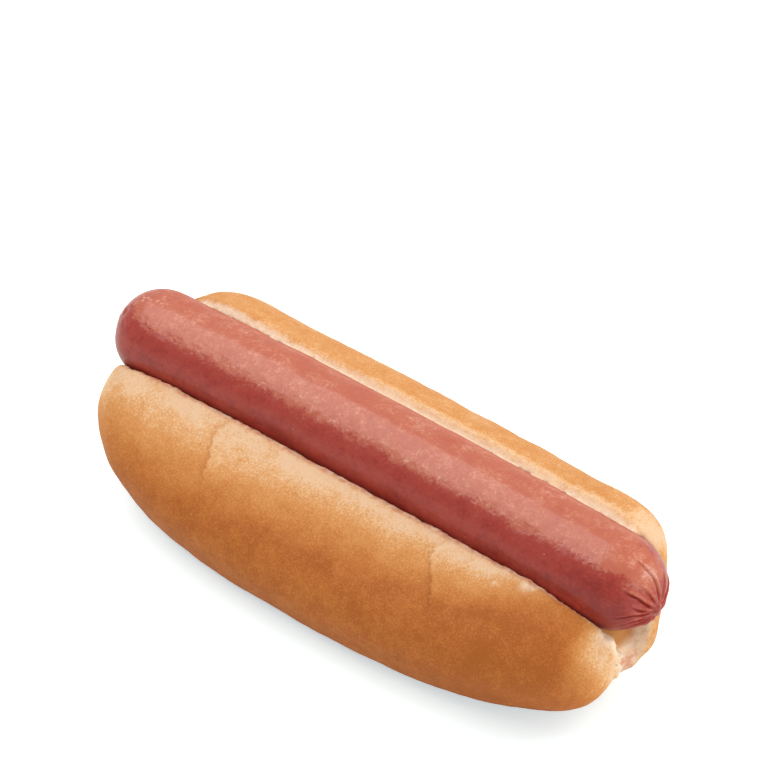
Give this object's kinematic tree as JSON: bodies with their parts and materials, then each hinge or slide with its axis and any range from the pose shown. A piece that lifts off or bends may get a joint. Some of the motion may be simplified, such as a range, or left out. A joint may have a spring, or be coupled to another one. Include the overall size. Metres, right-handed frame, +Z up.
{
  "type": "hot dog",
  "caption": "Soft golden side-sliced bun opened into a V, holding a plain frankfurter that pokes out past both ends of the bread.",
  "frame": {"origin": "under the middle of the whole, on the surface that the bun rests on", "axes": "+X along the sausage, +Y from the domed crown half of the bun to its upright heel half, +Z up"},
  "size_m": [0.1618, 0.0606, 0.044],
  "materials": {
    "bun": "matte",
    "sausage": "satin"
  },
  "bodies": {
    "root": {"bun": "bun", "sausage": "sausage"}
  },
  "joints": []
}
